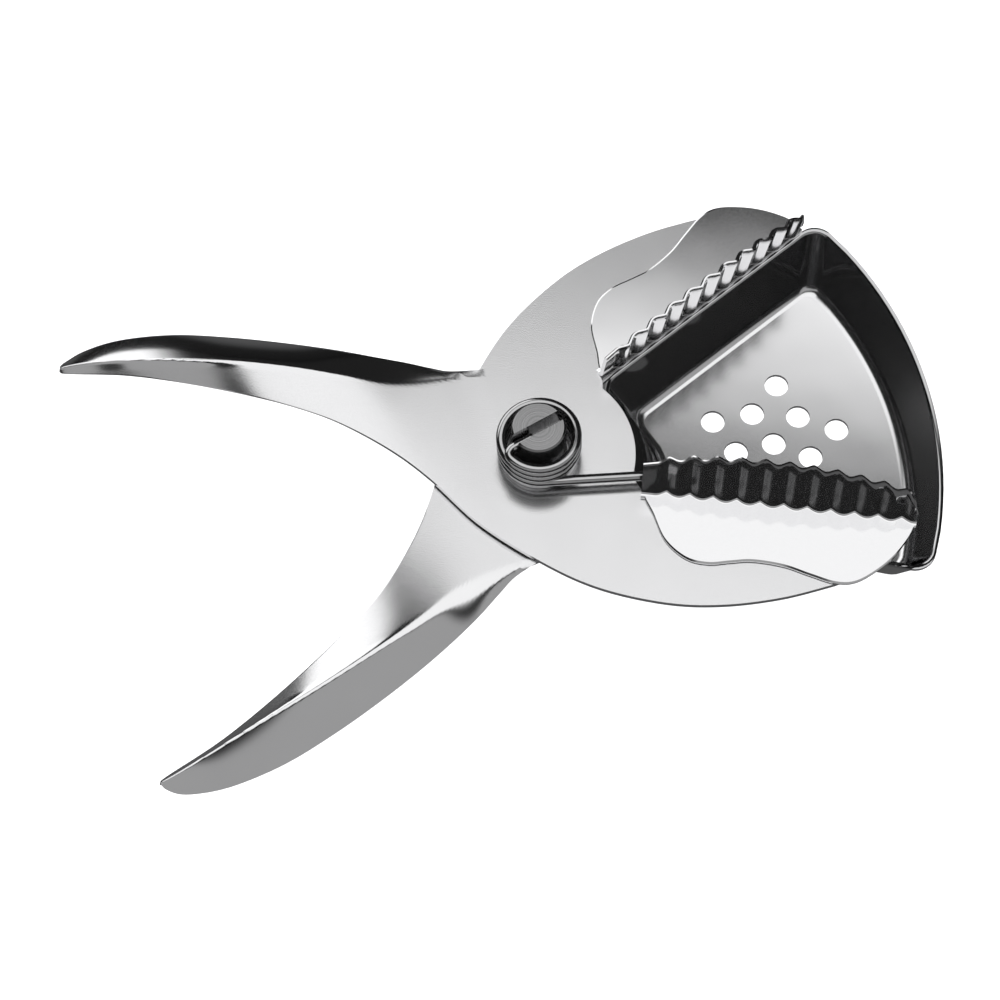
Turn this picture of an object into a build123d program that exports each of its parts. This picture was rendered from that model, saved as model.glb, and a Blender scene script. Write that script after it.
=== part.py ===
import os
from math import acos, asin, cos, pi, radians, sin, tan
from build123d import *

os.makedirs("parts", exist_ok=True)

# Driving sizes in mm. Drawn about the pivot, +X towards the jaws, z = 0 on the front lever's face.
sheet = 1.2                 # lever blanks
overlay = 0.8               # presser plates, lips and pan
handle_length = 92.0        # pivot to handle tip
jaw_length = 70.0           # pivot to the far end of a lip
hub_radius = 17.8
jaw_angle = 23.3            # each lip from the bisector, jaws at rest
lip_offset = 5.1            # lip foot from the pivot axis, square to the lip
lip_height = 12.2
lip_lean = 8.5              # degrees over the pan
lip_pitch = 4.3
lip_wave = 0.9              # half the depth of the corrugation
pan_radius = 73.5           # inside of the pan's outer wall at the mouth
pan_hub_radius = 19.8       # inside of its wall at the hub
pan_axis = -2.5             # direction of the pan's centre line
pan_shift = -1.2            # where that line crosses the pivot, along Y
pan_half_angle = 25.8       # side walls from the centre line
pan_wall_offset = 5.4       # side walls at the mouth from the line's crossing
pan_depth = 14.6
pan_draft = 15.0
pan_corner = 5.5
pan_bend = 1.6
pan_rim = 0.9
hub_flange = 2.2            # more of the rim at the hub, under the rear lever
weld_flange = 7.0           # pan's tongue under the rear jaw
hole_radius = 2.3
hole_centre = 45.8
inner_ring = 7.5
outer_ring = 12.5
washer = 0.8                # spacing between the levers
shaft_radius = 3.0
running_fit = 0.08
head_radius = 5.0
head_top = 11.6
slot_angle = 14.0
slot_play = 0.1             # beside the wire in the slot
collar_radius = 7.2
collar_height = 1.54
wire_radius = 0.9
coil_play = 1.05            # between the stud's head and the coil
coil_gap = 0.05             # between turns
tang_bend = 1.4
tang_end = 1.2              # where it stops in the slot, short of the stud's axis
leg_reach = 20.6            # pivot to the hook
leg_angle = -32.5
hook_bend = 1.6
hook_drop = 5.6

slot_width = 2 * (wire_radius + slot_play)
coil_radius = head_radius + coil_play + wire_radius
coil_pitch = 2 * wire_radius + coil_gap
leg_height = collar_height + 2 * running_fit + wire_radius
rear_face = -sheet - washer
pan_top = rear_face - sheet
lip_along = Vector(cos(radians(jaw_angle)), sin(radians(jaw_angle)), 0)
lip_out = Vector(-lip_along.Y, lip_along.X, 0)


def on_lip(u, v=0.0):
    """A point u along the lip's foot and v outward of it."""
    p = lip_along * u + lip_out * (lip_offset + v)
    return (p.X, p.Y)


lip_end = (jaw_length**2 - lip_offset**2) ** 0.5
lip_start = 19.6
flute_start = lip_start + 2.4
h, j = handle_length, jaw_length

# Handle stations: x, inner y, crown y, crown z, outer y, outer z; x and y in handle lengths.
stations = [
    (-0.130, 0.260, -0.223, 0.00, -0.280, -1.6),
    (-0.239, 0.120, -0.242, 0.30, -0.315, -2.3),
    (-0.337, -0.050, -0.282, 1.40, -0.370, -2.3),
    (-0.435, -0.215, -0.320, 2.60, -0.414, -2.1),
    (-0.543, -0.282, -0.359, 3.50, -0.458, -1.7),
    (-0.652, -0.340, -0.393, 3.70, -0.492, -1.2),
    (-0.761, -0.389, -0.426, 3.20, -0.510, -0.8),
    (-0.850, -0.424, -0.450, 2.00, -0.510, -0.6),
    (-0.920, -0.445, -0.462, 0.40, -0.505, -0.6),
]


def lever_blank():
    with BuildPart() as blank:
        for x, y_in, y_crown, z_crown, y_out, z_out in stations:
            with BuildSketch(Plane.YZ.offset(x * h)):
                crown = Vector(y_crown * h, z_crown)
                inner = Vector(y_in * h, 0)
                outer = Vector(y_out * h, z_out)
                near = crown + (inner - crown).normalized() * 1.6
                far = crown + (outer - crown).normalized() * 1.6
                top = crown * 0.5 + (near + far) * 0.25
                inner += (inner - crown).normalized() * 2
                drop = Vector(0, sheet)
                with BuildLine():
                    Line(inner, near)
                    ThreePointArc(near, top, far)
                    Line(far, outer)
                    Line(outer, outer - drop)
                    Line(outer - drop, far - drop)
                    ThreePointArc(far - drop, top - drop, near - drop)
                    Line(near - drop, inner - drop)
                    Line(inner - drop, inner)
                make_face()
        loft()
        with BuildSketch():
            with Locations((stations[0][0] * h, 0)):
                Rectangle(3 * j, 3 * j, align=(Align.MIN, Align.CENTER))
        extrude(amount=-sheet)
        with BuildSketch(Plane.XY.offset(-3 * sheet)):
            with BuildLine():
                inner_edge = Spline(
                    (-0.892 * h, -0.452 * h), (-0.870 * h, -0.442 * h), (-0.761 * h, -0.405 * h),
                    (-0.652 * h, -0.355 * h), (-0.543 * h, -0.297 * h), (-0.435 * h, -0.230 * h),
                    (-0.362 * h, -0.174 * h), (-0.283 * h, -0.090 * h), (-0.224 * h, -0.007 * h),
                    (-0.157 * h, 0.113 * h), (-0.059 * h, 0.230 * h), (0.043 * j, 0.411 * j),
                    (0.194 * j, 0.499 * j), (0.333 * j, 0.546 * j), (0.486 * j, 0.570 * j),
                    (0.629 * j, 0.573 * j))
                jaw_corner = ThreePointArc(inner_edge @ 1, (0.78 * j, 0.553 * j), on_lip(lip_end))
                Line(jaw_corner @ 1, on_lip(lip_start))
                notch = (hub_radius * cos(radians(33)), hub_radius * sin(radians(33)))
                Line(on_lip(lip_start), notch)
                low = (hub_radius * cos(radians(-44)), hub_radius * sin(radians(-44)))
                ThreePointArc(notch, (hub_radius, 0), low)
                outer_edge = Spline(
                    low, (0.085 * h, -0.172 * h), (0, -0.200 * h), (-0.110 * h, -0.229 * h),
                    (-0.155 * h, -0.254 * h), (-0.217 * h, -0.294 * h), (-0.326 * h, -0.352 * h),
                    (-0.435 * h, -0.402 * h), (-0.543 * h, -0.446 * h), (-0.652 * h, -0.480 * h),
                    (-0.761 * h, -0.497 * h), (-0.840 * h, -0.490 * h), (-0.880 * h, -0.472 * h))
                Line(outer_edge @ 1, (-0.892 * h, -0.452 * h))
            make_face()
        extrude(amount=8 * sheet, mode=Mode.INTERSECT)
        Cylinder(shaft_radius + running_fit, 6 * sheet, mode=Mode.SUBTRACT)
    return blank.part


def corrugated_lip():
    half = lip_pitch / 2
    count = int((lip_end - flute_start) / half)
    face = [on_lip(flute_start + i * half, -lip_wave * (i % 2)) for i in range(count + 1)]
    back = [on_lip(flute_start + i * half, overlay - lip_wave * (i % 2)) for i in range(count + 1)]
    lean = Vector(0, 0, cos(radians(lip_lean))) - lip_out * sin(radians(lip_lean))
    with BuildPart() as lip:
        with BuildSketch(Plane.XY.offset(overlay / 2)):
            with BuildLine():
                Polyline(*face, *reversed(back), close=True)
            make_face()
        extrude(amount=lip_height + 2, dir=lean)
        with BuildSketch(Plane(origin=(*on_lip(0, 4), 0), x_dir=lip_along, z_dir=-lip_out)):
            with BuildLine():
                rise = ThreePointArc((lip_start - 1, 0.76 * lip_height), (0.45 * j, lip_height + overlay),
                                     (lip_end - 4, 0.82 * lip_height))
                fall = Spline(rise @ 1, (lip_end - 1.2, 0.62 * lip_height), (lip_end + 0.2, 0.25 * lip_height))
                Polyline(fall @ 1, (lip_end + 0.2, 0), (lip_start - 1, 0), rise @ 0)
            make_face()
        extrude(amount=14, both=True, mode=Mode.INTERSECT)
    return lip.part


def presser_blank():
    with BuildPart() as presser:
        with BuildSketch():
            with BuildLine():
                edge = Spline(
                    on_lip(lip_start), (0.234 * j, 0.257 * j), (0.243 * j, 0.336 * j),
                    (0.279 * j, 0.400 * j), (0.329 * j, 0.431 * j), (0.386 * j, 0.443 * j),
                    (0.443 * j, 0.457 * j), (0.514 * j, 0.493 * j), (0.571 * j, 0.536 * j),
                    (0.629 * j, 0.576 * j), (0.679 * j, 0.587 * j), (0.743 * j, 0.571 * j),
                    (0.800 * j, 0.546 * j), (0.850 * j, 0.507 * j), on_lip(lip_end))
                Line(edge @ 1, edge @ 0)
            make_face()
        extrude(amount=overlay)
        add(corrugated_lip())
    return presser.part


with BuildPart() as front_lever:
    add(mirror(lever_blank(), about=Plane.XZ))

with BuildPart() as rear_lever:
    add(Pos(0, 0, rear_face) * lever_blank())

with BuildPart() as front_presser:
    add(mirror(presser_blank(), about=Plane.XZ))

with BuildPart() as rear_presser:
    add(Pos(0, 0, rear_face) * presser_blank())


def sector(grow, corner, hub_grow=0.0):
    """The pan's outline in its own axes, moved outward and with its corners rounded."""
    outer, inner = pan_radius + grow, pan_hub_radius - grow - hub_grow
    offset = pan_wall_offset + grow
    swing = radians(pan_half_angle)
    wall = [(r**2 - offset**2) ** 0.5 for r in (outer, inner)]
    far, near = [(t * cos(swing) - offset * sin(swing), t * sin(swing) + offset * cos(swing)) for t in wall]
    with BuildSketch() as shape:
        with BuildLine():
            Line(near, far)
            ThreePointArc(far, (outer, 0), (far[0], -far[1]))
            Line((far[0], -far[1]), (near[0], -near[1]))
            ThreePointArc((near[0], -near[1]), (inner, 0), near)
        make_face()
        fillet(shape.vertices(), corner)
    return shape.sketch


def pan_block(grow):
    """The pan's bowl as a solid, a wall's thickness apart for outside and inside."""
    draft = (pan_depth - overlay) * tan(radians(pan_draft))
    with BuildPart() as block:
        add(sector(grow, pan_corner + grow))
        add(Pos(0, 0, overlay - grow - pan_depth) * sector(grow - draft, pan_corner + grow))
        loft()
        fillet(block.faces().sort_by(Axis.Z)[0].edges(), pan_bend + grow)
    return block.part


with BuildPart() as bowl:
    with BuildSketch():
        add(sector(pan_rim, pan_corner + pan_rim, hub_flange))
    extrude(amount=-overlay)
    add(pan_block(overlay))
    add(pan_block(0), mode=Mode.SUBTRACT)
    with BuildSketch():
        with Locations((hole_centre, 0)):
            Circle(hole_radius)
            with PolarLocations(inner_ring, 5, start_angle=36):
                Circle(hole_radius)
            with PolarLocations(outer_ring, 5):
                Circle(hole_radius)
    extrude(amount=-2 * pan_depth, mode=Mode.SUBTRACT)

with BuildPart() as strainer_pan:
    add(Pos(0, pan_shift, pan_top) * Rot(0, 0, pan_axis) * bowl.part)
    with BuildSketch(Plane.XY.offset(pan_top)):
        with BuildLine():
            Polyline(on_lip(0.34 * j, -0.2), on_lip(0.90 * j, -0.2), on_lip(0.84 * j, weld_flange),
                     on_lip(0.40 * j, weld_flange), close=True)
        make_face()
    extrude(amount=-overlay)

slot_back = radians(slot_angle - 180)
slot_way = Vector(cos(slot_back), sin(slot_back), 0) * -1
leave = radians(leg_angle) - acos(coil_radius / leg_reach)
turn_in = asin(tang_bend / (coil_radius - tang_bend))
coil_turn = leave - slot_back - turn_in + 6 * pi
tang_height = leg_height + coil_pitch * coil_turn / (2 * pi)
hook_top = Vector(leg_reach * cos(radians(leg_angle)), leg_reach * sin(radians(leg_angle)), leg_height)
leg_root = Vector(coil_radius * cos(leave), coil_radius * sin(leave), leg_height)
leg_way = (hook_top - leg_root).normalized()
coil_points = []
for i in range(37):
    turn = coil_turn * i / 36
    z = leg_height + coil_pitch * turn / (2 * pi)
    coil_points.append(Vector(coil_radius * cos(leave - turn), coil_radius * sin(leave - turn), z))
bend_centre = Vector(cos(slot_back + turn_in), sin(slot_back + turn_in), 0) * (coil_radius - tang_bend)
bend_side = slot_back + (turn_in - pi / 2) / 2
bend_middle = bend_centre + Vector(cos(bend_side), sin(bend_side), 0) * tang_bend + Vector(0, 0, tang_height)
bend_end = slot_way * -(coil_radius - tang_bend) * cos(turn_in) + Vector(0, 0, tang_height)

with BuildPart() as pivot_stud:
    with BuildSketch(Plane.XY.offset(1)):
        Circle(shaft_radius)
    extrude(amount=pan_top - washer - 5.5)
    with BuildSketch(Plane.XY.offset(running_fit)):
        Circle(head_radius)
    extrude(amount=head_top - running_fit)
    fillet(pivot_stud.faces().sort_by(Axis.Z)[-1].edges(), 0.6)
    with BuildSketch(Plane.XY.offset(head_top)):
        Rectangle(4 * head_radius, slot_width, rotation=slot_angle)
    extrude(amount=tang_height - wire_radius - running_fit - head_top, mode=Mode.SUBTRACT)

with BuildPart() as spring_collar:
    with BuildSketch(Plane.XY.offset(running_fit)):
        Circle(collar_radius)
        Circle(head_radius + running_fit, mode=Mode.SUBTRACT)
    extrude(amount=collar_height)

with BuildPart() as pivot_washer:
    with BuildSketch(Plane.XY.offset(rear_face)):
        Circle(0.6 * hub_radius)
        Circle(shaft_radius + running_fit, mode=Mode.SUBTRACT)
    extrude(amount=washer - running_fit)

with BuildPart() as rear_washer:
    with BuildSketch(Plane.XY.offset(pan_top)):
        Circle(2.5 * shaft_radius)
        Circle(shaft_radius + running_fit, mode=Mode.SUBTRACT)
    extrude(amount=-washer)

with BuildPart() as pivot_nut:
    with BuildSketch(Plane.XY.offset(pan_top - washer)):
        RegularPolygon(1.9 * shaft_radius, 6)
        Circle(shaft_radius + running_fit, mode=Mode.SUBTRACT)
    extrude(amount=-3.5)

with BuildPart() as torsion_spring:
    with BuildLine() as leg_line:
        leg = Line(leg_root, hook_top - leg_way * hook_bend)
        bend = ThreePointArc(leg @ 1, hook_top - (leg_way + Vector(0, 0, 1)) * hook_bend * (1 - cos(pi / 4)),
                             hook_top - Vector(0, 0, hook_bend))
        Line(bend @ 1, hook_top - Vector(0, 0, hook_drop))
    with BuildSketch(Plane(origin=leg_root, z_dir=leg_way)):
        Circle(wire_radius)
    sweep(path=leg_line.wires()[0])
    with BuildLine() as coil_line:
        coil = Spline(*coil_points)
    with BuildSketch(Plane(origin=coil @ 0, z_dir=coil % 0)):
        Circle(wire_radius)
    sweep(path=coil_line.wires()[0])
    with BuildLine() as tang_line:
        tang = ThreePointArc(coil_points[-1], bend_middle, bend_end)
        Line(tang @ 1, slot_way * -tang_end + Vector(0, 0, tang_height))
    with BuildSketch(Plane(origin=tang @ 0, z_dir=tang % 0)):
        Circle(wire_radius)
    sweep(path=tang_line.wires()[0])

pieces = {"front_lever": front_lever, "rear_lever": rear_lever, "front_presser": front_presser,
          "rear_presser": rear_presser, "strainer_pan": strainer_pan, "pivot_stud": pivot_stud,
          "spring_collar": spring_collar, "pivot_washer": pivot_washer, "rear_washer": rear_washer,
          "pivot_nut": pivot_nut, "torsion_spring": torsion_spring}

# Set down: the middle of the whole piece's base goes to the origin.
whole = Compound([piece.part for piece in pieces.values()]).bounding_box()
base = Pos(-whole.center().X, -whole.center().Y, -whole.min.Z)
print("pivot and front face at", base.position)
for name, piece in pieces.items():
    placed = base * piece.part
    placed.label = name
    export_step(placed, f"parts/{name}.step")
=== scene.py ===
from math import acos, asin, atan2, cos, pi, radians, sin, sqrt, tan

import bmesh
import bpy
from mathutils import Matrix, Vector
from mathutils.geometry import interpolate_bezier


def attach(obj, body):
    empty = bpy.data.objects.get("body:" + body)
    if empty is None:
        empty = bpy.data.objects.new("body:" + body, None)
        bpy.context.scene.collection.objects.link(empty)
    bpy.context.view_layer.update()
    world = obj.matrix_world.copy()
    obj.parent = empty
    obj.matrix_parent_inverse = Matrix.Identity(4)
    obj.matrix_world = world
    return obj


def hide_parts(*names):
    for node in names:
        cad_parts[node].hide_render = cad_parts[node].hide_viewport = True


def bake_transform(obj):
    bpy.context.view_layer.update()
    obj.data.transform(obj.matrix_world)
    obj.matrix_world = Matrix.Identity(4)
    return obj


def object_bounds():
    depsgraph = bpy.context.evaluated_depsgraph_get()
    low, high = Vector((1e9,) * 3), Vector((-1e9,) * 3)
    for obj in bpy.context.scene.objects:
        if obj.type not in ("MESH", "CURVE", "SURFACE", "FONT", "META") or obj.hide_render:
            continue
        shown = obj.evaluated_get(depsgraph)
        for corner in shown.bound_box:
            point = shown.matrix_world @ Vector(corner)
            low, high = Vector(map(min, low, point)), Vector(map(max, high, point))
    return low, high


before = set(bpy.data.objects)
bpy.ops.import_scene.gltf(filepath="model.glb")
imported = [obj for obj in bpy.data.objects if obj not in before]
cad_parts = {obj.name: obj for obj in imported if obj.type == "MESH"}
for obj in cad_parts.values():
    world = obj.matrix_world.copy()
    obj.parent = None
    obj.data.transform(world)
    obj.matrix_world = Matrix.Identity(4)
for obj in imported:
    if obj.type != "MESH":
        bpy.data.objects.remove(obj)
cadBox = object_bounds()

# Pieces are drawn in millimetres about the pivot, z = 0 on the front lever's face, then set in the frame.
toFrame = Matrix.Translation((0.003832, 0, 0.0178)) @ Matrix.Diagonal((0.001, 0.001, 0.001, 1))
rearFace = -2.0          # the rear lever's upper face
panTop = -3.2            # its lower face, where the pan is fixed
jawAngle = radians(23.3)
lipAlong = Vector((cos(jawAngle), sin(jawAngle)))
lipOut = Vector((-lipAlong.y, lipAlong.x))
lip = {"offset": 5.1, "start": 19.6, "end": 69.8, "fluteStart": 22.0, "pitch": 4.3, "wave": 0.9,
       "lean": radians(8.5), "foot": 1.0, "sheet": 0.8}


class Wire:
    # a socket that can be added, multiplied and so on
    def __init__(self, sheet, socket):
        self.sheet = sheet
        self.socket = socket

    def maths(self, operation, first, second):
        return self.sheet.node("ShaderNodeMath", {"operation": operation}, {0: first, 1: second})

    def __add__(self, other):
        return self.maths("ADD", self, other)

    def __radd__(self, other):
        return self.maths("ADD", other, self)

    def __sub__(self, other):
        return self.maths("SUBTRACT", self, other)

    def __rsub__(self, other):
        return self.maths("SUBTRACT", other, self)

    def __mul__(self, other):
        return self.maths("MULTIPLY", self, other)

    def __rmul__(self, other):
        return self.maths("MULTIPLY", other, self)

    def __pow__(self, power):
        return self.maths("POWER", self, power)


class NodeSheet:
    def __init__(self, owner):
        owner.use_nodes = True
        self.tree = owner.node_tree
        self.tree.nodes.clear()

    def node(self, kind, settings=None, sockets=None, take=0):
        made = self.tree.nodes.new(kind)
        for name, value in (settings or {}).items():
            setattr(made, name, value)
        for key, value in (sockets or {}).items():
            if isinstance(value, Wire):
                self.tree.links.new(value.socket, made.inputs[key])
            else:
                made.inputs[key].default_value = value
        return Wire(self, made.outputs[take]) if len(made.outputs) else None

    def band(self, wire, low, high, start=0.0, end=1.0):
        # smooth step from start to end as wire goes from low to high
        return self.node("ShaderNodeMapRange", {"interpolation_type": "SMOOTHSTEP"},
                         {"Value": wire, "From Min": low, "From Max": high, "To Min": start, "To Max": end})

    def noise(self, place, scale, detail=2.0, roughness=0.5):
        return self.node("ShaderNodeTexNoise", {}, {"Vector": place, "Scale": scale, "Detail": detail,
                                                    "Roughness": roughness})

    def parts(self, vector):
        split = self.node("ShaderNodeSeparateXYZ", {}, {"Vector": vector})
        outputs = split.socket.node.outputs
        return [Wire(self, outputs[i]) for i in range(3)]

    def place(self):
        return self.node("ShaderNodeTexCoord", take=3)

    def grey(self, tone):
        return self.node("ShaderNodeCombineColor", {}, {0: tone, 1: tone, 2: tone * 1.01})

    def bump(self, height, distance, strength=1.0):
        return self.node("ShaderNodeBump", {}, {"Strength": strength, "Distance": distance, "Height": height})

    def metal(self, tone, roughness, normal=None):
        sockets = {"Base Color": self.grey(tone), "Roughness": roughness, "Metallic": 1.0}
        if normal is not None:
            sockets["Normal"] = normal
        shader = self.node("ShaderNodeBsdfPrincipled", {}, sockets)
        self.node("ShaderNodeOutputMaterial", {}, {"Surface": shader})


steel = {
    "satin": {"tone": 0.82, "roughness": 0.21, "flange": 0.10, "grain": 3600, "grainDepth": 0.000014},
    "polished": {"tone": 0.86, "roughness": 0.09, "ripple": 55, "rippleDepth": 0.00005},
    # pan: tone is the walls' base colour, set low as painted shade; floorTone lifts the floor above it
    "pan": {"tone": 0.55, "floorTone": 0.30, "wall": 0.07, "dull": 0.12, "floor": 0.0024, "rippleDepth": 0.00004,
            "dishMiddle": (0.062, 0.006), "dish": 1.3},
    "turned": {"tone": 0.36, "ringTone": 0.40, "roughness": 0.24, "rings": 2600},
    "wire": {"tone": 0.52, "roughness": 0.14},
}


def satinSteel():
    # blasted plates, buffed on the handles' outer flanges
    look = steel["satin"]
    material = bpy.data.materials.new("satinSteel")
    sheet = NodeSheet(material)
    place = sheet.place()
    buffed = sheet.node("ShaderNodeAttribute", {"attribute_name": "buffed"}, take=2)
    grain = sheet.noise(place, look["grain"], 3.0, 0.65)
    cloud = sheet.noise(place, 90, 2.0)
    matt = 1.0 - buffed
    tone = look["tone"] + (cloud - 0.5) * 0.05 + (grain - 0.5) * 0.14 * matt
    roughness = buffed * look["flange"] + matt * (look["roughness"] + (cloud - 0.5) * 0.08)
    height = grain * matt
    sheet.metal(tone, roughness, sheet.bump(height, look["grainDepth"], 0.6))
    return material


def polishedSteel():
    look = steel["polished"]
    material = bpy.data.materials.new("polishedSteel")
    sheet = NodeSheet(material)
    place = sheet.place()
    ripple = sheet.noise(place, look["ripple"], 1.0)
    scuff = sheet.noise(place, 1800, 4.0, 0.7)
    roughness = look["roughness"] + (scuff - 0.5) * 0.06
    sheet.metal(look["tone"] + (scuff - 0.5) * 0.05, roughness, sheet.bump(ripple, look["rippleDepth"], 0.6))
    return material


def panSteel():
    # mirror walls with a darker base colour as painted shade, a duller floor
    look = steel["pan"]
    material = bpy.data.materials.new("panSteel")
    sheet = NodeSheet(material)
    place = sheet.place()
    x, y, z = sheet.parts(place)
    low = sheet.band(z, look["floor"], look["floor"] - 0.001)
    x, y = x - look["dishMiddle"][0], y - look["dishMiddle"][1]
    dish = (x * x + y * y) * look["dish"]    # the floor is drawn a hair deeper in its middle
    scuff = sheet.noise(place, 1500, 4.0, 0.7)
    ripple = sheet.noise(place, 70, 1.0)
    roughness = look["wall"] + low * look["dull"] + (scuff - 0.5) * 0.06
    # the walls keep the low base tone as painted shade; the floor adds floorTone on top
    tone = look["tone"] + low * look["floorTone"] + (scuff - 0.5) * 0.06
    sheet.metal(tone, roughness, sheet.bump(ripple * look["rippleDepth"] + dish, 1.0))
    return material


def turnedSteel():
    look = steel["turned"]
    material = bpy.data.materials.new("turnedSteel")
    sheet = NodeSheet(material)
    x, y, z = sheet.parts(sheet.place())
    x = x - toFrame.translation.x
    radius = (x * x + y * y) ** 0.5
    rings = sheet.node("ShaderNodeTexNoise", {"noise_dimensions": "1D"},
                       {"W": radius, "Scale": look["rings"], "Detail": 3.0})
    roughness = look["roughness"] + (rings - 0.5) * 0.2
    sheet.metal(look["tone"] + (rings - 0.5) * look["ringTone"], roughness, sheet.bump(rings, 0.00002, 0.35))
    return material


def wireSteel():
    look = steel["wire"]
    material = bpy.data.materials.new("springSteel")
    sheet = NodeSheet(material)
    fine = sheet.noise(sheet.place(), 900, 3.0)
    sheet.metal(look["tone"] + (fine - 0.5) * 0.08, look["roughness"] + (fine - 0.5) * 0.08)
    return material


finishes = {"satin_steel": satinSteel(), "polished_steel": polishedSteel(),
            "turned_steel": turnedSteel(), "spring_wire": wireSteel(), "pan": panSteel()}
print("finishes made")


def through(points, steps=10):
    # a smooth line through the points
    points = [Vector(p) for p in points]
    line = []
    for i in range(len(points) - 1):
        before, after = points[max(i - 1, 0)], points[min(i + 2, len(points) - 1)]
        a, b = points[i], points[i + 1]
        line += interpolate_bezier(a, a + (b - before) / 6, b - (after - a) / 6, b, steps + 1)[:-1]
    return [p.to_2d() for p in line] + [points[-1].to_2d()]


def crossing(line, x):
    # the line's y at x
    for a, b in zip(line, line[1:]):
        if min(a.x, b.x) <= x <= max(a.x, b.x) and a.x != b.x:
            return a.y + (b.y - a.y) * (x - a.x) / (b.x - a.x)
    return min(line, key=lambda p: abs(p.x - x)).y


def smooth(low, high, value):
    share = min(max((value - low) / (high - low), 0), 1)
    return share * share * (3 - 2 * share)


def onLip(u, v=0.0):
    return lipAlong * u + lipOut * (lip["offset"] + v)


def makePiece(form, name, body, slotName, node, thickness=0, offset=-1, bevel=0, cutter=None, angle=35,
              finish=None, taper=False):
    # modifiers finish the shape, then the mesh goes to its place in the frame
    mesh = bpy.data.meshes.new(name)
    form.to_mesh(mesh)
    form.free()
    piece = bpy.data.objects.new(name, mesh)
    bpy.context.scene.collection.objects.link(piece)
    if thickness:
        wall = piece.modifiers.new("wall", "SOLIDIFY")
        wall.thickness, wall.offset, wall.use_even_offset = thickness, offset, True
        if taper:
            wall.vertex_group = piece.vertex_groups.new(name="taper").name
    if cutter:
        hole = piece.modifiers.new("hole", "BOOLEAN")
        hole.object, hole.operation, hole.solver = cutter, "DIFFERENCE", "EXACT"
    if bevel:
        edge = piece.modifiers.new("edge", "BEVEL")
        edge.width, edge.segments, edge.limit_method, edge.angle_limit = bevel, 2, "ANGLE", radians(angle)
    made = bpy.data.meshes.new_from_object(piece.evaluated_get(bpy.context.evaluated_depsgraph_get()))
    piece.modifiers.clear()
    piece.data = made
    made.name = name
    bpy.data.meshes.remove(mesh)
    if cutter:
        bpy.data.objects.remove(cutter)
    made.transform(toFrame)
    made.shade_smooth()
    made.set_sharp_from_angle(angle=radians(32))
    if body:
        flats = piece.modifiers.new("flats", "WEIGHTED_NORMAL")
        flats.keep_sharp = True
    made.materials.clear()
    made.materials.append(finishes[finish or slotName])
    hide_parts(node)
    if body:
        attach(piece, body)
    print(name, len(made.polygons), "faces")
    return piece


def cutterFrom(form):
    mesh = bpy.data.meshes.new("cutter")
    form.to_mesh(mesh)
    form.free()
    tool = bpy.data.objects.new("cutter", mesh)
    bpy.context.scene.collection.objects.link(tool)
    return tool


def faceUp(form):
    bmesh.ops.recalc_face_normals(form, faces=form.faces)
    if sum(f.normal.z * f.calc_area() for f in form.faces) < 0:
        bmesh.ops.reverse_faces(form, faces=form.faces)


def setSide(form, front):
    # rear pieces are drawn, front ones are their mirror image
    if front:
        bmesh.ops.scale(form, vec=(1, -1, 1), verts=form.verts)
        bmesh.ops.reverse_faces(form, faces=form.faces)
    else:
        bmesh.ops.translate(form, verts=form.verts, vec=(0, 0, rearFace))


def drill(radius, depth=20, segments=48, places=(Matrix(),)):
    form = bmesh.new()
    for place in places:
        bmesh.ops.create_cone(form, cap_ends=True, segments=segments, radius1=radius, radius2=radius,
                              depth=depth, matrix=place)
    return cutterFrom(form)


lever = {
    "sheet": 1.2, "hub": 17.8, "flatEnd": -5.0, "rows": 96, "endward": 1.15, "tipCut": 0.35, "webShare": 0.1,
    "steepest": 0.85, "ridge": 0.45, "columns": 44, "shaft": 3.08, "jawCorner": (54.6, 38.7),
    "flangeBow": 0.15, "buffedFrom": (-1.6, -0.9), "buffedDrop": (0.3, 2.5),
    "inner": [(-82.1, -41.6), (-80.0, -40.7), (-70.0, -37.3), (-60.0, -32.7), (-50.0, -27.3), (-40.0, -21.2),
              (-33.3, -16.0), (-26.0, -8.3), (-20.6, -0.6), (-14.4, 10.4), (-5.4, 21.2), (3.0, 28.8),
              (13.6, 34.9), (23.3, 38.2), (34.0, 39.9), (44.0, 40.1)],
    "outer": [(12.8, -12.4), (7.8, -15.8), (0.0, -18.4), (-10.1, -21.1), (-14.3, -23.4), (-20.0, -27.0),
              (-30.0, -32.4), (-40.0, -37.0), (-50.0, -41.0), (-60.0, -44.2), (-70.0, -45.7), (-77.3, -45.1),
              (-81.0, -43.4), (-82.1, -41.6)],
    # along the handle: x, crown y, crown z, outer edge z
    "crown": [(-5.0, -19.6, 0.0, 0.0), (-12.0, -20.6, 0.0, -1.2), (-22.0, -22.4, 0.3, -2.3),
              (-31.0, -26.0, 1.4, -2.3), (-40.0, -29.5, 2.6, -2.1), (-50.0, -33.1, 3.5, -1.7),
              (-60.0, -36.2, 3.7, -1.2), (-70.0, -39.2, 3.2, -0.8), (-78.2, -41.4, 2.0, -0.6),
              (-84.6, -42.5, 0.4, -0.6)],
}


def handleHeight(x, y, inner, outer):
    # arched section: a web rising to the crown, then a flange falling outward
    crownY, crownZ, outerZ = [crossing(lever[k], x) for k in ("crownY", "crownZ", "outerZ")]
    innerZ = lever["webShare"] * crownZ
    web = crownZ - (crownZ - innerZ) * (y - crownY) / max(inner - crownY, 0.5)
    reach = max(crownY - outer, 0.3)
    outerZ = max(outerZ, crownZ - lever["steepest"] * reach)
    share = (crownY - y) / reach
    bow = lever["flangeBow"]
    fall = crownZ + (outerZ - crownZ) * ((1 - bow) * share + bow * share * abs(share))
    soft = lever["ridge"] * smooth(0, 2, crownZ - outerZ)
    mix = min(max(0.5 + 0.5 * (fall - web) / (soft + 1e-6), 0), 1)
    height = fall * (1 - mix) + web * mix - soft * mix * (1 - mix)
    buffed = smooth(*lever["buffedFrom"], crownY - y) * smooth(*lever["buffedDrop"], crownZ - outerZ)
    return height, buffed


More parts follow.
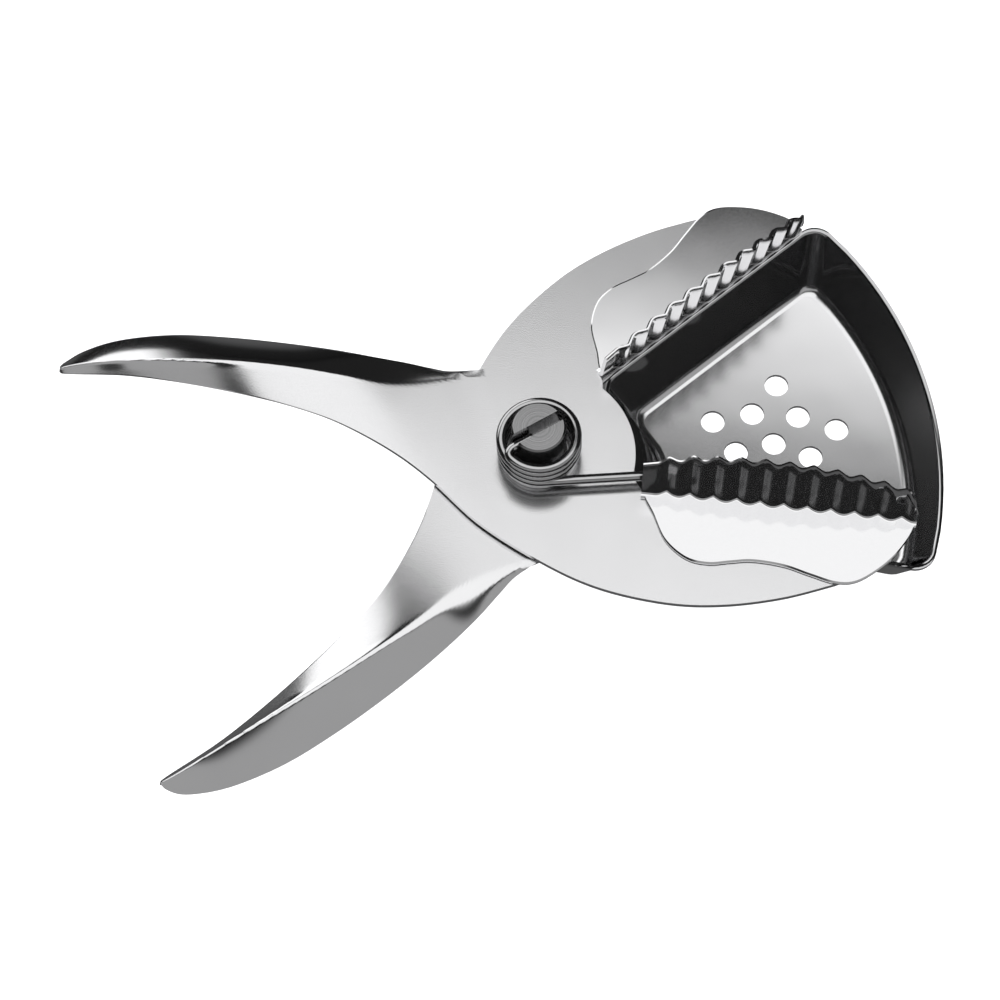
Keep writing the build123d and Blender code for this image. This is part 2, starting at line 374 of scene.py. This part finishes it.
def makeLever(name, body, node, front):
    inner, outer = through(lever["inner"]), through(lever["outer"])
    for column, key in enumerate(("crownY", "crownZ", "outerZ"), 1):
        lever[key] = through([(row[0], row[column]) for row in lever["crown"]])
    form = bmesh.new()
    buffed = form.verts.layers.float.new("buffed")
    bmesh.ops.create_grid(form, x_segments=lever["rows"], y_segments=lever["columns"], size=0.5)
    first = []
    for vert in form.verts:
        along, across = 1 - abs(vert.co.x + 0.5) ** lever["endward"], vert.co.y + 0.5
        x = lever["flatEnd"] + (lever["inner"][0][0] + lever["tipCut"] - lever["flatEnd"]) * along
        top, low = crossing(inner, x), crossing(outer, x)
        y = top + (low - top) * (1 - across)
        height, vert[buffed] = handleHeight(x, y, top, low)
        if along < 1e-6:
            first.append(vert)
            height = 0
        vert.co = (x, y, height)
    first.sort(key=lambda v: -v.co.y)
    hub = lever["hub"]
    ring = [p for p in outer if p.x > lever["flatEnd"] + 0.3][::-1]
    ring += [Vector((hub * cos(radians(a)), hub * sin(radians(a)))) for a in range(-40, 34, 3)]
    ring += [onLip(lip["start"] + (lip["end"] - lip["start"]) * i / 30) for i in range(31)]
    corner = through([onLip(lip["end"]), lever["jawCorner"], lever["inner"][-1]], 12)
    ring += corner[1:-1] + [p for p in inner if p.x > lever["flatEnd"] + 0.3][::-1]
    flat = [form.verts.new((p.x, p.y, 0)) for p in ring]
    form.faces.new(first + flat)
    bmesh.ops.remove_doubles(form, verts=form.verts, dist=0.02)
    faceUp(form)
    setSide(form, front)
    makePiece(form, name, body, "satin_steel", node, lever["sheet"], bevel=0.16, cutter=drill(lever["shaft"]))


makeLever("frontLever", "moving_side", "front_lever", True)
makeLever("rearLever", "pan_side", "rear_lever", False)


presser = {
    "columnsPerFlute": 16, "startColumns": 9, "endColumns": 178, "plateRows": 7, "bendRows": 5, "lipRows": 8,
    "cusp": 0.45, "edge": 0.7, "edgeShare": 0.4, "round": 0.35,
    "outline": [(19.6, 0.0), (20.6, 2.4), (22.2, 4.9), (24.9, 9.8), (29.0, 12.9), (33.1, 13.5), (37.1, 12.7),
                (41.1, 12.0), (46.7, 12.3), (51.6, 13.5), (56.3, 14.5), (59.9, 13.9), (63.6, 11.1),
                (66.5, 7.8), (68.7, 4.0), (69.6, 1.2), (69.9, 0.0)],
    "top": [(18.6, 9.3), (25.0, 11.5), (31.5, 13.0), (43.0, 13.9), (55.0, 12.9), (65.8, 10.0), (68.6, 7.6),
            (69.8, 3.6), (70.0, 3.0)],
}


def makePresser(name, body, node, front):
    outline, top = through(presser["outline"]), through(presser["top"])
    plate, bend, rise = presser["plateRows"], presser["bendRows"], presser["lipRows"]
    rows = plate + bend + rise
    columns = presser["startColumns"] + presser["endColumns"]
    form = bmesh.new()
    taper = form.verts.layers.deform.verify()
    bmesh.ops.create_grid(form, x_segments=columns, y_segments=rows, size=0.5)
    foot, middle = lip["foot"], lip["sheet"] / 2
    for vert in form.verts:
        column = round((vert.co.x + 0.5) * columns) - presser["startColumns"]
        row = round((vert.co.y + 0.5) * rows)
        u = lip["fluteStart"] + lip["pitch"] * column / presser["columnsPerFlute"]
        phase = 2 * pi * column / presser["columnsPerFlute"]
        crest = (0.5 - 0.5 * cos(phase)) * (1 - presser["cusp"]) + (1 - abs(cos(phase / 2))) * presser["cusp"]
        wave = lip["wave"] * smooth(0, 2, u - lip["fluteStart"] + 1) * crest
        wall = middle - wave
        vert[taper][0] = 1.0
        if row <= plate:
            edge = max(crossing(outline, u) - 0.05, wall + foot + 0.5)
            within = edge - presser["round"]
            v, z = within + (wall + foot - within) * (row - 1) / (plate - 1), middle
            if row == 0:
                v = edge
                vert[taper][0] = presser["edgeShare"]
        elif row <= plate + bend:
            turn = pi / 2 * (row - plate) / bend
            v, z = wall + foot * (1 - sin(turn)), middle + foot * (1 - cos(turn))
        else:
            high = max(crossing(top, u), foot + 1.2)
            reach = high - middle - foot
            share = min((row - plate - bend) / (rise - 1), 1)
            z = middle + foot + (reach - min(presser["edge"], reach / 2)) * share
            if row == rows:
                z = high
                vert[taper][0] = presser["edgeShare"]
            v = wall - (z - middle - foot) * tan(lip["lean"])
        point = onLip(u, v)
        vert.co = (point.x, point.y, z)
    faceUp(form)
    setSide(form, front)
    makePiece(form, name, body, "polished_steel", node, lip["sheet"] - 0.02, offset=0, taper=True)


makePresser("frontPresser", "moving_side", "front_presser", True)
makePresser("rearPresser", "pan_side", "rear_presser", False)


pan = {
    "outer": 73.5, "hub": 19.8, "axis": radians(-2.5), "shift": -1.2, "swing": radians(25.8), "wallOffset": 5.4,
    "depth": 14.6, "draft": radians(15), "corner": 5.5, "cornerShare": 0.62, "bend": 1.6, "rim": 0.9,
    "rimBend": 0.5, "hubFlange": 2.2, "sheet": 0.8, "farSteps": 28, "nearSteps": 12,
    "hole": 2.3, "holeCentre": 45.8, "innerRing": 7.5, "outerRing": 12.5,
}


def panLoop(form, grow, corner, z, hubGrow=0):
    # the pan's outline, moved outward by grow, with its corners rounded by a vertex bevel
    far, near = pan["outer"] + grow, pan["hub"] - grow - hubGrow
    offset, swing = pan["wallOffset"] + grow, pan["swing"]
    reach = [sqrt(r * r - offset * offset) for r in (far, near)]
    outer, inner = [Vector((t * cos(swing) - offset * sin(swing), t * sin(swing) + offset * cos(swing), z))
                    for t in reach]
    farSteps, nearSteps = pan["farSteps"], pan["nearSteps"]
    points = []
    for count, radius, start in ((farSteps, far, -atan2(outer.y, outer.x)),
                                 (nearSteps, near, atan2(inner.y, inner.x))):
        for i in range(count + 1):
            angle = start - 2 * start * i / count
            points.append(Vector((radius * cos(angle), radius * sin(angle), z)))
    verts = [form.verts.new(p) for p in points]
    form.faces.new(verts)
    # stations too near a corner go, to leave the bevel room
    skip = int(corner / (2 * far * swing / farSteps))
    ends = ((0, 1, skip), (farSteps, -1, skip), (farSteps + 1, 1, 3), (farSteps + 1 + nearSteps, -1, 3))
    corners = [verts[i] for i, step, count in ends]
    drop = [verts[i + step * k] for i, step, count in ends for k in range(1, count + 1)]
    bmesh.ops.dissolve_verts(form, verts=drop)
    bmesh.ops.bevel(form, geom=corners, offset=corner * pan["cornerShare"], affect="VERTICES", segments=8,
                    profile=0.5, material=-1)
    face = [f for f in form.faces if abs(f.calc_center_median().z - z) < 1e-5][0]
    return [loop.edge for loop in face.loops], face


def makePan():
    form = bmesh.new()
    slope = (pan["depth"] - pan["sheet"]) * tan(pan["draft"])
    loops = []
    for grow, corner, z in ((pan["rim"], pan["corner"] + pan["rim"], 0), (0, pan["corner"], 0.0001),
                            (-slope, pan["corner"], -(pan["depth"] - pan["sheet"]))):
        edges, face = panLoop(form, grow, corner, z, 0 if loops else pan["hubFlange"])
        loops.append(edges)
        if z > -1:
            bmesh.ops.delete(form, geom=[face], context="FACES_ONLY")
    bmesh.ops.bridge_loops(form, edges=loops[0] + loops[1])
    bmesh.ops.bridge_loops(form, edges=loops[1] + loops[2])
    bmesh.ops.bevel(form, geom=loops[2], offset=pan["bend"], affect="EDGES", segments=7, profile=0.5, material=-1)
    bmesh.ops.bevel(form, geom=[e for e in loops[1] if e.is_valid], offset=pan["rimBend"], affect="EDGES",
                    segments=4, profile=0.5, material=-1)
    faceUp(form)
    place = Matrix.Translation((0, pan["shift"], panTop)) @ Matrix.Rotation(pan["axis"], 4, "Z")
    bmesh.ops.transform(form, matrix=place, verts=form.verts)
    centre = Vector((pan["holeCentre"], 0, -pan["depth"]))
    spots = [centre]
    for radius, start in ((pan["innerRing"], 36), (pan["outerRing"], 0)):
        for i in range(5):
            angle = radians(start + 72 * i)
            spots.append(centre + Vector((radius * cos(angle), radius * sin(angle), 0)))
    holes = drill(pan["hole"], 6, 32, [place @ Matrix.Translation(spot) for spot in spots])
    makePiece(form, "strainerPan", "pan_side", "polished_steel", "strainer_pan", pan["sheet"],
              bevel=0.15, cutter=holes, angle=50, finish="pan")


makePan()


def lathe(form, profile, steps=96):
    # spins a profile of (radius, height) round the pivot
    verts = [form.verts.new((r, 0, z)) for r, z in profile]
    edges = [form.edges.new(pair) for pair in zip(verts, verts[1:])]
    bmesh.ops.spin(form, geom=verts + edges, cent=(0, 0, 0), axis=(0, 0, 1), angle=2 * pi, steps=steps,
                   use_merge=True)
    bmesh.ops.remove_doubles(form, verts=form.verts, dist=0.001)
    bmesh.ops.holes_fill(form, edges=form.edges, sides=0)
    bmesh.ops.recalc_face_normals(form, faces=form.faces)


stud = {"head": 5.0, "top": 11.6, "chamfer": 0.35, "shaft": 3.0, "end": -8.5, "slot": 2.0, "slotAngle": radians(14),
        "slotFloor": 7.42, "undercut": 0.08}


def makeStud():
    form = bmesh.new()
    c = stud["chamfer"]
    lathe(form, [(stud["shaft"] - 0.4, stud["end"]), (stud["shaft"], stud["end"] + 0.4),
                 (stud["shaft"], stud["undercut"]), (stud["head"], stud["undercut"]),
                 (stud["head"], stud["top"] - c), (stud["head"] - c, stud["top"])])
    groove = bmesh.new()
    slotBox = Matrix.Translation((0, 0, stud["slotFloor"] + 5)) @ Matrix.Diagonal((30, stud["slot"], 10, 1))
    bmesh.ops.create_cube(groove, size=1, matrix=Matrix.Rotation(stud["slotAngle"], 4, "Z") @ slotBox)
    makePiece(form, "pivotStud", "pan_side", "turned_steel", "pivot_stud", bevel=0.15, cutter=cutterFrom(groove))


makeStud()

# by node: piece name, bore radius, edge radius, underside and top
rings = {
    "spring_collar": ("springCollar", 5.08, 7.2, 0.08, 1.67),
    "pivot_washer": ("pivotWasher", 3.08, 10.68, -2.0, -1.28),
    "rear_washer": ("rearWasher", 3.08, 7.5, -4.0, -3.2),
}
for node, (name, bore, edge, low, high) in rings.items():
    form = bmesh.new()
    lathe(form, [(bore, low), (edge, low), (edge, high), (bore, high), (bore, low)])
    makePiece(form, name, "pan_side", "turned_steel", node, bevel=0.15)


nut = {"radius": 5.7, "thick": 3.5, "middle": -5.75, "bore": 3.08}


def makeNut():
    form = bmesh.new()
    bmesh.ops.create_cone(form, cap_ends=True, segments=6, radius1=nut["radius"], radius2=nut["radius"],
                          depth=nut["thick"], matrix=Matrix.Translation((0, 0, nut["middle"])))
    makePiece(form, "pivotNut", "pan_side", "turned_steel", "pivot_nut", bevel=0.3, cutter=drill(nut["bore"]),
              angle=40)


makeNut()

spring = {"wire": 0.9, "coil": 6.95, "pitch": 1.85, "turns": 3, "turnIn": 1.4, "legHeight": 2.6, "legReach": 20.6,
          "legAngle": radians(-32.5), "hookDrop": 5.6, "hookBend": 1.6, "tangEnd": -1.2, "sides": 20}


def makeSpring():
    # wire drawn from the hook, along the leg, round the coil and into the slot
    coil, height = spring["coil"], spring["legHeight"]
    slotBack = stud["slotAngle"] - pi
    slotWay = Vector((cos(stud["slotAngle"]), sin(stud["slotAngle"]), 0))
    leave = spring["legAngle"] - acos(coil / spring["legReach"])
    turnIn = asin(spring["turnIn"] / (coil - spring["turnIn"]))
    coilTurn = leave - slotBack - turnIn + 2 * pi * spring["turns"]
    rise = spring["pitch"] * coilTurn / (2 * pi)
    root = Vector((coil * cos(leave), coil * sin(leave), height))
    hook = Vector((cos(spring["legAngle"]), sin(spring["legAngle"]), 0)) * spring["legReach"] + Vector((0, 0, height))
    way = (hook - root).normalized()
    bend = spring["hookBend"]

    form = bmesh.new()
    bmesh.ops.create_circle(form, segments=spring["sides"], radius=spring["wire"])
    bmesh.ops.translate(form, verts=form.verts, vec=hook - Vector((0, 0, spring["hookDrop"])))
    state = {"edges": list(form.edges), "verts": list(form.verts)}
    form.faces.new(state["verts"])

    def keep(geometry):
        state["edges"] = [g for g in geometry if isinstance(g, bmesh.types.BMEdge)]
        state["verts"] = [g for g in geometry if isinstance(g, bmesh.types.BMVert)]

    def straight(vector, steps):
        for i in range(steps):
            keep(bmesh.ops.extrude_edge_only(form, edges=state["edges"])["geom"])
            bmesh.ops.translate(form, verts=state["verts"], vec=vector / steps)

    def turn(centre, axis, angle, steps, lift=0.0):
        keep(bmesh.ops.spin(form, geom=state["edges"] + state["verts"], cent=centre, axis=axis, angle=angle,
                            steps=steps, dvec=(0, 0, lift / steps))["geom_last"])

    straight(Vector((0, 0, spring["hookDrop"] - bend)), 4)
    turn(hook - way * bend - Vector((0, 0, bend)), way.cross(Vector((0, 0, 1))), pi / 2, 10)
    straight(-way * ((hook - root).length - bend), 12)
    turn((0, 0, 0), (0, 0, 1), -coilTurn, 210, rise)
    angle = slotBack + turnIn
    centre = Vector((cos(angle), sin(angle), 0)) * (coil - spring["turnIn"])
    turn(centre, (0, 0, 1), -(pi / 2 + turnIn), 14)
    straight(slotWay * ((coil - spring["turnIn"]) * cos(turnIn) + spring["tangEnd"]), 6)
    bmesh.ops.contextual_create(form, geom=state["edges"])
    bmesh.ops.recalc_face_normals(form, faces=form.faces)
    piece = makePiece(form, "torsionSpring", None, "spring_wire", "torsion_spring", bevel=0.2, angle=60)
    toFrame @ Vector((0, 0, height + rise - spring["wire"]))
    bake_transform(piece)


makeSpring()

studio = {
    "floorTone": 0.92, "cameraTone": 1.0, "dark": 0.015, "firstMirror": (2.8, 2.2),
    "softbox": 1.05, "farEdge": (0.575, 0.65), "nearEdge": (0.60, 0.70), "leftEdge": (-0.60, -0.45),
    "wall": 1.3, "wallSide": (0.55, 0.75), "wallFoot": (-0.45, -0.35), "wallTop": (0.84, 0.76),
    "wallEnd": (0.15, 0.07),
    "room": 0.36, "roomSide": (-0.20, -0.35), "roomSlant": (0.56, 0.51), "roomTop": (0.80, 0.74),
    "bench": 0.08, "benchFar": 0.01, "benchEdge": (0.10, 0.18),
    "lampSize": 1.2, "lampHeight": 1.1, "lampPower": 22,
}


def makeStudio():
    world = bpy.data.worlds.new("studio")
    bpy.context.scene.world = world
    sheet = NodeSheet(world)
    x, y, z = sheet.parts(sheet.node("ShaderNodeTexCoord", take=0))
    overhead = sheet.band(z - y * 0.5 - x * 0.25, *studio["farEdge"])
    overhead = overhead * sheet.band(z + y * 0.5, *studio["nearEdge"]) * sheet.band(x, *studio["leftEdge"])
    wall = sheet.band(y, *studio["wallSide"]) * sheet.band(z, *studio["wallFoot"])
    wall = wall * sheet.band(z, *studio["wallTop"]) * sheet.band(x, *studio["wallEnd"])
    room = sheet.band(y, *studio["roomSide"]) * sheet.band(z + y * 0.5 - x * 0.3, *studio["roomSlant"])
    room = room * sheet.band(z, *studio["roomTop"])
    # wall and room fade out after the first mirror
    direct = sheet.band(sheet.node("ShaderNodeLightPath", take="Ray Depth"), *studio["firstMirror"])
    sides = wall * studio["wall"] + room * studio["room"]
    light = overhead * studio["softbox"] + sides * direct + studio["dark"]
    seen = sheet.node("ShaderNodeLightPath", take=0)
    strength = light + seen * (studio["cameraTone"] - light)
    glow = sheet.node("ShaderNodeBackground", {}, {"Color": (1, 1, 1, 1), "Strength": strength})
    sheet.node("ShaderNodeOutputWorld", {}, {"Surface": glow})

    def plane(name, drop, tone, far):
        form = bmesh.new()
        bmesh.ops.create_grid(form, x_segments=1, y_segments=1, size=3)
        bmesh.ops.translate(form, verts=form.verts, vec=(0, 0, cadBox[0].z - drop))
        mesh = bpy.data.meshes.new(name)
        form.to_mesh(mesh)
        form.free()
        ground = bpy.data.objects.new(name, mesh)
        bpy.context.scene.collection.objects.link(ground)
        material = bpy.data.materials.new(name)
        floorSheet = NodeSheet(material)
        across, deep, up = floorSheet.parts(floorSheet.place())
        reach = (across * across + deep * deep) ** 0.5
        shade = floorSheet.grey(floorSheet.band(reach, *studio["benchEdge"], tone, far))
        shader = floorSheet.node("ShaderNodeBsdfDiffuse", {}, {"Color": shade})
        floorSheet.node("ShaderNodeOutputMaterial", {}, {"Surface": shader})
        mesh.materials.append(material)
        return ground

    floor = plane("paleFloor", 0.0002, studio["floorTone"], studio["floorTone"])
    floor.visible_glossy = False
    bench = plane("bench", 0.0004, studio["bench"], studio["benchFar"])
    bench.visible_camera = bench.visible_diffuse = bench.visible_shadow = False

    lamp = bpy.data.lights.new("softbox", "AREA")
    lamp.shape, lamp.size, lamp.energy = "SQUARE", studio["lampSize"], studio["lampPower"]
    light = bpy.data.objects.new("softbox", lamp)
    light.location = (0, 0, studio["lampHeight"])
    lamp.use_shadow = False
    light.visible_glossy = False
    bpy.context.scene.collection.objects.link(light)


camera = {"place": (-0.04864, -0.19794, 0.46020), "turn": (23.824, 1.399, -15.836), "lens": 94.84}


def makeCamera():
    lens = bpy.data.cameras.new("camera")
    lens.lens, lens.sensor_width = camera["lens"], 36
    view = bpy.data.objects.new("camera", lens)
    view.location = camera["place"]
    view.rotation_euler = [radians(a) for a in camera["turn"]]
    bpy.context.scene.collection.objects.link(view)
    bpy.context.scene.camera = view


makeStudio()
makeCamera()
bpy.context.scene.view_settings.view_transform = "Standard"
print("studio and camera set")
